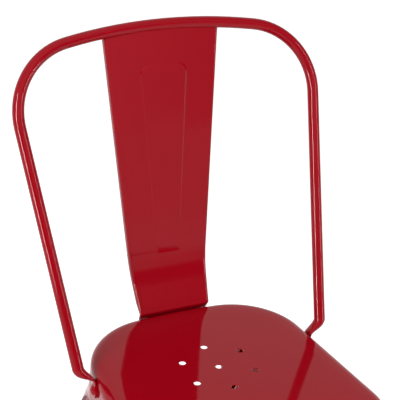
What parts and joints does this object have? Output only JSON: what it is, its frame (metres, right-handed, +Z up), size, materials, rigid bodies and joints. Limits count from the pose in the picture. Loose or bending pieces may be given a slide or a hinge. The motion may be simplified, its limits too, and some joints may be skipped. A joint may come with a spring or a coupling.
{
  "type": "metal bistro chair",
  "caption": "Stacking bistro chair of pressed red sheet metal: rounded seat with drain holes, bent tube back hoop, tapered back panel with a raised field, flared legs.",
  "frame": {"origin": "on the floor under the middle of the chair's outline", "axes": "+Z up, the chair faces -Y, +X is the sitter's left"},
  "size_m": [0.4506, 0.5259, 0.8475],
  "materials": {
    "red_enamel": "glossy deep red lacquer",
    "foot_rubber": "matt black rubber"
  },
  "bodies": {
    "root": {"back_hoop": "red_enamel", "back_splat": "red_enamel", "back_splat_welds": "red_enamel", "brace_rivet": "red_enamel", "front_apron": "red_enamel", "front_left_foot": "foot_rubber", "front_left_leg": "red_enamel", "front_right_foot": "foot_rubber", "front_right_leg": "red_enamel", "hoop_rivets": "red_enamel", "left_apron": "red_enamel", "lower_seat_brace": "red_enamel", "rear_apron": "red_enamel", "rear_left_foot": "foot_rubber", "rear_left_leg": "red_enamel", "rear_right_foot": "foot_rubber", "rear_right_leg": "red_enamel", "right_apron": "red_enamel", "seat_pan": "red_enamel", "splat_rivets": "red_enamel", "upper_seat_brace": "red_enamel"}
  },
  "joints": []
}
